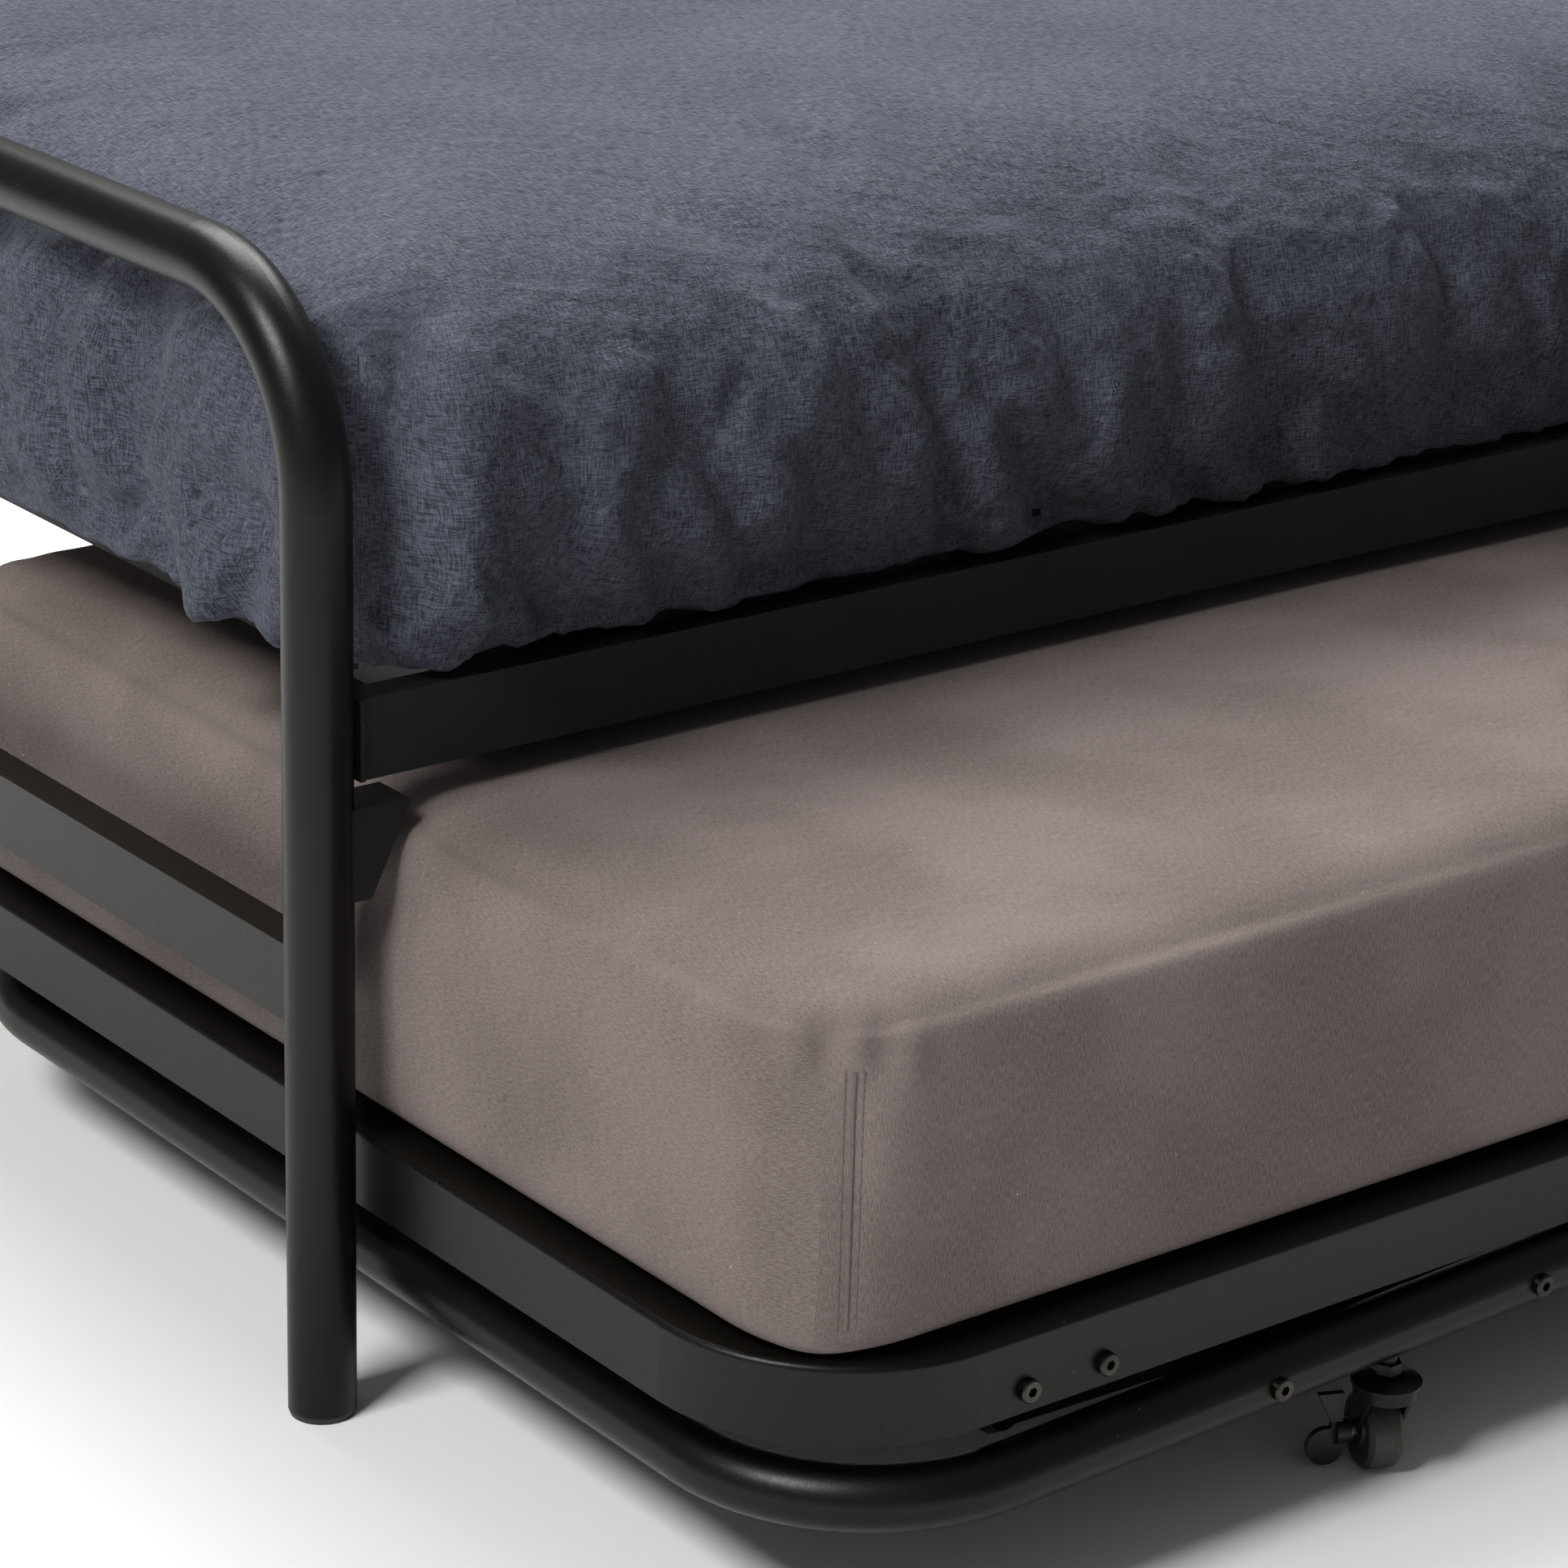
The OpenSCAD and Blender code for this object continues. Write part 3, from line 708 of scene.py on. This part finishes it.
@dataclass
class Duvet:
    """A plump duvet, tucked between the upper mattress and the rails."""

    slot: str = "duvet_cloth"
    cell: float = 0.0125
    crown: float = 0.006
    slope: float = 0.010
    plan_radius: float = 0.07
    belly: float = 0.026
    hem_inset: float = 0.005
    top_radius: float = 0.085
    hem_radius: float = 0.018
    gather: float = 0.030
    ripples: float = 19.0
    pleat_at: float = 0.014
    pleat_width: float = 0.012
    pleat_depth: float = 0.014
    lobe_at: float = 0.05
    lobe_width: float = 0.022
    lobe_height: float = 0.008
    lining_gap: float = 0.003

    def build(self, wardrobe: Wardrobe) -> bpy.types.Object:
        """Builds and dresses the duvet.

        Args:
            wardrobe: where its material comes from.

        Returns:
            The duvet.
        """
        low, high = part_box("duvet")
        block = Block("duvet_cover", low, high, self.cell)
        out = block.round_off(self.top_radius, self.hem_radius)
        height = (block.flat[:, 2] - block.low[2]) / block.size[2]
        is_top = ease(0.9, 1.0, height)
        dome = ease(0.0, 0.22, block.edge_distance())
        lift = self.crown * dome - self.slope * (1 - dome)
        block.points[:, 2] += ease(0.55, 1.0, height) * lift
        sideways = out.copy()
        sideways[:, 2] = 0
        belly = self.belly * np.sin(np.pi * np.clip(height, 0, 1) ** 0.8) * (1 - is_top)
        belly -= self.hem_inset * (1 - ease(0.0, 0.3, height))
        ends = np.abs(out[:, 0]) > 0.7
        belly[ends] *= 0.3
        block.points += sideways * belly[:, None]
        block.points += out * self.gathers(block, height, is_top)[:, None]
        block.round_plan(self.plan_radius)
        obj = block.make()
        pinned = (height <= 0.0).astype(float)
        sim = ClothPass(
            frames=26, pressure=2.2, slack=0.10, taut=0.025, swell=0.008, gain=1.0, reach=0.016
        )
        sim.run(obj, pinned, ease(0.35, 1.0, height))
        subdivide_once(obj)
        self.crumple(obj)
        self.hollow_out(obj)
        obj.data.materials.append(wardrobe.get(self.slot))
        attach(obj, "bed_frame")
        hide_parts("duvet")
        return obj

    def gathers(self, block: Block, height: np.ndarray, is_top: np.ndarray) -> np.ndarray:
        """How far the gathers along the tucked hem push the cloth out or in.

        Args:
            block: the duvet's grid.
            height: the height of each point, from 0 at the hem to 1 at the top.
            is_top: 1 on the top, 0 on the sides.

        Returns:
            The outward offset of each point.
        """
        x, y, z = block.flat.T
        lean = 0.55 * (block.high[2] - z)
        along = np.stack([(x - lean) * self.ripples, (y - lean) * self.ripples, z * 3.0], axis=1)
        wide = perlin(along * np.array([0.45, 0.45, 1.0]), 3.1)
        fine = perlin(along, 8.4)
        sharp = perlin(along * np.array([2.1, 2.1, 1.6]), 15.2)
        puffs = 1.3 * np.abs(fine) ** 0.6 + np.abs(wide) ** 0.7 + 0.3 * np.abs(sharp) ** 0.7 - 1.2
        fade = 1 - ease(0.05, 0.55 + 0.45 * np.clip(wide + 0.5, 0, 1), height)
        strength = self.gather * (1 - is_top) * (0.12 + 0.95 * fade)
        result = strength * puffs
        result[height <= 0.0] *= 0.3
        from_end = np.minimum(x - block.low[0], block.high[0] - x)
        from_side = np.minimum(y - block.low[1], block.high[1] - y)
        beside = np.where(from_side < 1e-6, from_end, 1.0)
        pleat = np.exp(-(((beside - self.pleat_at) / self.pleat_width) ** 2))
        pleat = pleat * ease(0.1, 0.3, height) * (1 - ease(0.8, 1.0, height))
        lobe = np.exp(-(((beside - self.lobe_at) / self.lobe_width) ** 2)) * (1 - is_top)
        return result - self.pleat_depth * pleat + self.lobe_height * lobe

    def hollow_out(self, obj: bpy.types.Object) -> None:
        """Opens the underside over the mattress, so that the duvet wraps it.

        Args:
            obj: the duvet.
        """
        low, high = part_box("bed_mattress")
        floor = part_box("duvet")[0].z + 0.004
        margin = self.lining_gap
        mesh = bmesh.new()
        mesh.from_mesh(obj.data)
        inner = []
        for face in mesh.faces:
            c = face.calc_center_median()
            if c.z < floor and face.normal.z < -0.5 and low.x - 0.006 < c.x < high.x + 0.006 \
                    and low.y - 0.014 < c.y < high.y + 0.014:
                inner.append(face)
        bmesh.ops.delete(mesh, geom=inner, context="FACES")
        rim = [e for e in mesh.edges if e.is_boundary]
        grown = bmesh.ops.extrude_edge_only(mesh, edges=rim)["geom"]
        for vert in [v for v in grown if isinstance(v, bmesh.types.BMVert)]:
            vert.co.z = high.z + margin
            vert.co.x = min(max(vert.co.x, low.x - margin), high.x + margin)
            vert.co.y = min(max(vert.co.y, low.y - margin), high.y + margin)
        loop = [e for e in grown if isinstance(e, bmesh.types.BMEdge) and e.is_boundary]
        bmesh.ops.holes_fill(mesh, edges=loop, sides=0)
        bmesh.ops.recalc_face_normals(mesh, faces=mesh.faces)
        mesh.to_mesh(obj.data)
        mesh.free()

    def crumple(self, obj: bpy.types.Object) -> None:
        """Adds the small dry creases of washed cloth.

        Args:
            obj: the duvet.
        """
        places = vertex_places(obj.data)
        normals = vertex_normals(obj.data)
        low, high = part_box("duvet")
        lean = 0.5 * (high.z - places[:, 2])
        x, y, z = places.T
        skewed = np.stack([(x - lean) * 34, (y - lean) * 34, z * 12], axis=1)
        ridges = np.clip(1 - np.abs(perlin(skewed, 5.0)) * 4.5, 0, 1)
        second = np.clip(1 - np.abs(perlin(skewed * np.array([0.5, 0.5, 2.2]), 9.0)) * 5, 0, 1)
        broad = perlin(places * np.array([4.0, 4.0, 6.0]), 2.0)
        on_side = 1 - ease(high.z - 0.06, high.z - 0.005, places[:, 2])
        amount = (ridges + 0.7 * second) * (0.0004 + 0.0030 * on_side)
        amount = amount + broad * 0.0035 * (1 - on_side)
        inside = places[:, 2] < low.z + 0.002
        amount[inside] = 0
        move_vertices(obj.data, places + normals * amount[:, None])


@dataclass
class FittedMattress:
    """The trundle's mattress in a fitted jersey sheet."""

    slot: str = "sheet_jersey"
    cell: float = 0.012
    top_radius: float = 0.040
    foot_radius: float = 0.024
    plan_radius: float = 0.075
    seam_turn: float = math.radians(57.6)
    belly: float = 0.004
    seam_depth: float = 0.0020
    dent: float = 0.008
    seam_width: float = 0.007
    pucker: float = 0.0036

    def build(self, wardrobe: Wardrobe) -> bpy.types.Object:
        """Builds and dresses the mattress and its sheet.

        Args:
            wardrobe: where its material comes from.

        Returns:
            The mattress.
        """
        low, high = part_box("trundle_mattress")
        block = Block("fitted_sheet", low, high, self.cell)
        out = block.round_off(self.top_radius, self.foot_radius)
        height = (block.flat[:, 2] - block.low[2]) / block.size[2]
        across = (block.flat[:, :2] - block.low[:2]) / block.size[:2]
        on_top = ease(0.93, 1.0, height)
        wave = perlin(block.flat * np.array([5.0, 5.0, 8.0]), 4.0)
        dome = np.prod(1 - np.abs(2 * across - 1) ** 4, axis=1)
        block.points[:, 2] -= on_top * (0.004 * (1 - dome) + 0.002 * (1 + wave) * 0.5)
        sideways = out * np.array([0.4, 1.0, 0.0])
        block.points += sideways * (self.belly * np.sin(np.pi * height) * (1 - on_top))[:, None]
        block.points += out * (wave * 0.0018 * (1 - on_top) * ease(0.0, 0.2, height))[:, None]
        block.round_plan(self.plan_radius)
        self.press_in(block, height)
        obj = block.make()
        subdivide_once(obj)
        self.sew_corners(obj)
        obj.data.materials.append(wardrobe.get(self.slot))
        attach(obj, "trundle_deck")
        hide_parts("trundle_mattress")
        return obj

    def press_in(self, block: Block, height: np.ndarray) -> None:
        """Presses the ends in beside the posts' gussets.

        Args:
            block: the sheet's grid.
            height: the height of each point, from 0 at the foot to 1 at the top.
        """
        for side in ("front_left", "front_right"):
            low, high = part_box("post_gusset_" + side)
            inward = -math.copysign(1, low.x)
            middle = (low.y + high.y) / 2
            end = block.low[0] if inward > 0 else block.high[0]
            from_end = np.abs(block.points[:, 0] - end)
            near = np.exp(-(((block.points[:, 1] - middle) / 0.04) ** 2))
            near = near * (1 - ease(0.03, 0.12, from_end))
            block.points[:, 0] += inward * self.dent * near * ease(0.5, 0.75, height)

    def corner_centres(self) -> list[tuple[Vector, Vector]]:
        """The axis of each upright corner, and the direction from it to the seam."""
        low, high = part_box("trundle_mattress")
        r = self.plan_radius
        along, across = math.cos(self.seam_turn), math.sin(self.seam_turn)
        return [
            (Vector((x, y, 0.0)), Vector((side_x * along, side_y * across, 0.0)))
            for side_x, x in ((-1, low.x + r), (1, high.x - r))
            for side_y, y in ((-1, low.y + r), (1, high.y - r))
        ]

    def sew_corners(self, obj: bpy.types.Object) -> None:
        """Draws in a seam down each corner, with a pucker at its top.

        Args:
            obj: the mattress.
        """
        low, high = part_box("trundle_mattress")
        places = vertex_places(obj.data)
        normals = vertex_normals(obj.data)
        push = np.zeros(len(places))
        for centre, diagonal in self.corner_centres():
            away = places - np.array([centre.x, centre.y, 0])
            cross = away[:, 0] * diagonal.y - away[:, 1] * diagonal.x
            ahead = away[:, 0] * diagonal.x + away[:, 1] * diagonal.y
            near = (ahead > 0) & (np.abs(cross) < 0.08)
            height = (places[:, 2] - low.z) / (high.z - low.z)
            upright = ease(0.02, 0.1, height) * (1 - ease(0.80, 0.93, height)) * near
            push -= self.seam_depth * np.exp(-((cross / self.seam_width) ** 2)) * upright
            folds = np.cos(cross * 210) * np.exp(-((cross / 0.035) ** 2))
            tuck = np.exp(-(((height - 0.86) / 0.07) ** 2)) * near
            push += self.pucker * folds * tuck
        move_vertices(obj.data, places + normals * push[:, None])

    def seam(
        self, wardrobe: Wardrobe, sheet: bpy.types.Object, name: str,
        offsets: tuple[float, ...], thread: Triple,
    ) -> bpy.types.Object:
        """Runs rows of thread or a welt down each corner seam.

        Args:
            wardrobe: where the material comes from.
            sheet: the sheet that they are sewn into.
            name: the new piece's name.
            offsets: where the rows lie, from the seam's middle.
            thread: pitch, length and radius of a stitch.

        Returns:
            The rows as one mesh.
        """
        pitch, length, radius = thread
        low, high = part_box("trundle_mattress")
        graph = bpy.context.evaluated_depsgraph_get()
        surface = sheet.evaluated_get(graph)
        lines = bpy.data.curves.new("seam_lines", "CURVE")
        lines.dimensions = "3D"
        for centre, diagonal in self.corner_centres():
            for aside in offsets:
                offset = Vector((diagonal.y, -diagonal.x, 0)) * aside
                spots = []
                for step in range(24):
                    z = low.z + 0.02 + (high.z - low.z - 0.055) * step / 23
                    begin = Vector((centre.x, centre.y, z)) + offset + diagonal * 0.3
                    hit, spot, normal, _ = surface.ray_cast(begin, -diagonal)
                    if hit:
                        spots.append(spot + normal * 0.0001)
                spline = lines.splines.new("POLY")
                spline.points.add(len(spots) - 1)
                for point, spot in zip(spline.points, spots):
                    point.co = (*spot, 1)
        source = bpy.data.objects.new("seam_lines", lines)
        bpy.context.scene.collection.objects.link(source)
        piece = StitchRow(wardrobe.get(self.slot), pitch, length, radius).bake(source, name)
        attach(piece, "trundle_deck")
        return piece


@dataclass
class StitchRow:
    """Geometry Nodes that lay short stitches along curves."""

    thread: bpy.types.Material
    pitch: float = 0.0042
    length: float = 0.0030
    radius: float = 0.00042

    def tree(self) -> bpy.types.GeometryNodeTree:
        """Builds the node tree, with its sizes as named inputs."""
        group = bpy.data.node_groups.new("stitch_row", "GeometryNodeTree")
        face = group.interface
        face.new_socket("Geometry", in_out="INPUT", socket_type="NodeSocketGeometry")
        for name, value in (("Pitch", self.pitch), ("Length", self.length), ("Radius", self.radius)):
            socket = face.new_socket(name, in_out="INPUT", socket_type="NodeSocketFloat")
            socket.default_value = value
        face.new_socket("Geometry", in_out="OUTPUT", socket_type="NodeSocketGeometry")
        nodes, link = group.nodes, group.links.new
        given = nodes.new("NodeGroupInput")
        result = nodes.new("NodeGroupOutput")
        points = nodes.new("GeometryNodeCurveToPoints")
        points.mode = "LENGTH"
        stitch = nodes.new("GeometryNodeMeshCylinder")
        stitch.inputs["Vertices"].default_value = 6
        scatter = nodes.new("GeometryNodeInstanceOnPoints")
        real = nodes.new("GeometryNodeRealizeInstances")
        paint = nodes.new("GeometryNodeSetMaterial")
        paint.inputs["Material"].default_value = self.thread
        link(given.outputs["Geometry"], points.inputs["Curve"])
        link(given.outputs["Pitch"], points.inputs["Length"])
        link(given.outputs["Length"], stitch.inputs["Depth"])
        link(given.outputs["Radius"], stitch.inputs["Radius"])
        link(points.outputs["Points"], scatter.inputs["Points"])
        link(points.outputs["Rotation"], scatter.inputs["Rotation"])
        link(stitch.outputs["Mesh"], scatter.inputs["Instance"])
        link(scatter.outputs["Instances"], real.inputs["Geometry"])
        link(real.outputs["Geometry"], paint.inputs["Geometry"])
        link(paint.outputs["Geometry"], result.inputs["Geometry"])
        return group

    def bake(self, source: bpy.types.Object, name: str) -> bpy.types.Object:
        """Turns curves into a mesh of stitches.

        Args:
            source: the curve object, which is removed.
            name: the new piece's name.

        Returns:
            The piece.
        """
        modifier = source.modifiers.new("stitches", "NODES")
        modifier.node_group = self.tree()
        graph = bpy.context.evaluated_depsgraph_get()
        mesh = bpy.data.meshes.new_from_object(source.evaluated_get(graph))
        piece = bpy.data.objects.new(name, mesh)
        bpy.context.scene.collection.objects.link(piece)
        bpy.data.objects.remove(source)
        if not mesh.uv_layers:
            mesh.uv_layers.new(name="cloth")
        return piece


@dataclass
class UpperMattress:
    """The mattress under the duvet: ticking with a shallow quilting."""

    slot: str = "mattress_cloth"
    cell: float = 0.03
    quilt: float = 0.0025
    repeat: float = 0.15
    edge_radius: float = 0.02
    plan_radius: float = 0.09

    def build(self, wardrobe: Wardrobe) -> bpy.types.Object:
        """Builds and dresses the mattress.

        Args:
            wardrobe: where its material comes from.

        Returns:
            The mattress.
        """
        low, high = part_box("bed_mattress")
        block = Block("quilted_mattress", low, high, self.cell)
        out = block.round_off(self.edge_radius, self.edge_radius)
        x, y, _ = block.flat.T
        one, two = np.pi * (x + y) / self.repeat, np.pi * (x - y) / self.repeat
        waves = np.abs(np.sin(one) * np.sin(two))
        face = np.abs(out[:, 2]) > 0.9
        block.points[:, 2] -= np.sign(out[:, 2]) * face * self.quilt * (1 - waves ** 0.5)
        block.round_plan(self.plan_radius)
        obj = block.make()
        subdivide_once(obj)
        obj.data.materials.append(wardrobe.get(self.slot))
        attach(obj, "bed_frame")
        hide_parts("bed_mattress")
        return obj


# ----------------------------------------------------------------------- steel


@dataclass
class SteelWork:
    """The parts that keep their own shape: tubes, rails, brackets, bolts and casters."""

    def dress(self, wardrobe: Wardrobe) -> None:
        """Gives every part its finish.

        Args:
            wardrobe: where the materials come from.
        """
        for part in frame["record"]["subparts"]:
            obj = frame["nodes"][part["node"]]
            material = wardrobe.get(part["material_slot"])
            if obj.material_slots:
                for holder in obj.material_slots:
                    holder.material = material
            else:
                obj.data.materials.append(material)
            LOG.info("%s: %s", obj.name, material.name)


# ---------------------------------------------------------------------- studio


@dataclass
class Studio:
    """Floor, lights and camera."""

    lens: float = 110.0
    yaw: float = math.radians(38.055)
    pitch: float = math.radians(20.416)
    roll: float = math.radians(1.647)
    from_post: Triple = (-1.2608, -2.0079, 1.2544)
    floor_size: float = 40.0
    ambient: float = 0.17

    def aim(self) -> Matrix:
        """The camera's rotation."""
        level = math.cos(self.pitch)
        ahead = Vector(
            (math.sin(self.yaw) * level, math.cos(self.yaw) * level, -math.sin(self.pitch))
        )
        right = Vector((math.cos(self.yaw), -math.sin(self.yaw), 0))
        up = right.cross(ahead)
        turned_right = right * math.cos(self.roll) + up * math.sin(self.roll)
        turned_up = up * math.cos(self.roll) - right * math.sin(self.roll)
        return Matrix((turned_right, turned_up, -ahead)).transposed()

    def camera(self) -> None:
        """Sets the camera up beside the front left post."""
        low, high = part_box("foot_plug_front_left")
        post = Vector(((low.x + high.x) / 2, (low.y + high.y) / 2, 0))
        data = bpy.data.cameras.new("camera")
        data.lens = self.lens
        data.sensor_width = 36.0
        data.clip_end = 50.0
        camera = bpy.data.objects.new("camera", data)
        place = post + Vector(self.from_post)
        camera.matrix_world = Matrix.Translation(place) @ self.aim().to_4x4()
        bpy.context.scene.collection.objects.link(camera)
        bpy.context.scene.camera = camera

    def lamp(
        self, name: str, place: Triple, target: Triple, size: tuple[float, float],
        power: float, tint: Triple,
    ) -> None:
        """Hangs a soft box.

        Args:
            name: the lamp's name.
            place: where it hangs.
            target: the point that it faces.
            size: its width and height.
            power: its power in watts.
            tint: its colour.
        """
        data = bpy.data.lights.new(name, "AREA")
        data.shape = "RECTANGLE"
        data.size, data.size_y = size
        data.energy = power
        data.color = tint
        obj = bpy.data.objects.new(name, data)
        obj.location = place
        facing = (Vector(target) - Vector(place)).to_track_quat("-Z", "Y")
        obj.rotation_euler = facing.to_euler()
        bpy.context.scene.collection.objects.link(obj)

    def build(self) -> None:
        """Builds the floor, the lights, the world and the camera."""
        self.camera()
        bpy.ops.mesh.primitive_plane_add(size=self.floor_size, location=(0, 0, 0))
        floor = bpy.context.active_object
        floor.name = "studio_floor"
        s = Shader("floor_paint")
        tone = s.noise(s.coords, 1.5, 2.0)
        paint = s.mix(tone, rgba(244, 244, 244), rgba(250, 250, 250))
        floor.data.materials.append(s.finish({"Roughness": 0.9}, {"Base Color": paint}))
        self.lamp("key", (-3.3, -0.75, 3.0), (-0.5, -0.1, 0.3), (1.3, 1.0), 122, (1.0, 0.99, 0.975))
        self.lamp("top", (0.6, 1.6, 3.6), (0.0, 0.0, 0.3), (3.6, 2.4), 250, (1.0, 1.0, 1.0))
        self.lamp("fill", (-2.6, -3.4, 1.6), (-0.5, -0.3, 0.3), (2.2, 1.8), 2, (1.0, 0.99, 0.97))
        world = bpy.data.worlds.new("studio")
        world.use_nodes = True
        background = world.node_tree.nodes["Background"]
        background.inputs["Color"].default_value = (1.0, 1.0, 1.0, 1.0)
        background.inputs["Strength"].default_value = self.ambient
        bpy.context.scene.world = world
        bpy.context.scene.view_settings.view_transform = "Standard"


# Rows beside the seam, and the pitch, length and radius of a stitch and of the welt.
STITCH_OFFSETS = (-0.0045, 0.0045)
STITCH_THREAD = (0.0042, 0.0030, 0.00042)
WELT_CORD = (0.0010, 0.0016, 0.0011)


def main() -> None:
    """Builds the studio, dresses the steel and makes the bedding."""
    logging.basicConfig(level=logging.INFO, format="%(name)s: %(message)s")
    wardrobe = Wardrobe()
    Studio().build()
    SteelWork().dress(wardrobe)
    sheet_maker = FittedMattress()
    sheet = sheet_maker.build(wardrobe)
    pieces = [
        Duvet().build(wardrobe),
        sheet,
        sheet_maker.seam(wardrobe, sheet, "seam_stitches", STITCH_OFFSETS, STITCH_THREAD),
        sheet_maker.seam(wardrobe, sheet, "seam_welt", (0.0,), WELT_CORD),
        UpperMattress().build(wardrobe),
    ]
    for piece in pieces:
        LOG.info("%s: %d faces", piece.name, len(piece.data.polygons))


if __name__ == "__main__":
    main()
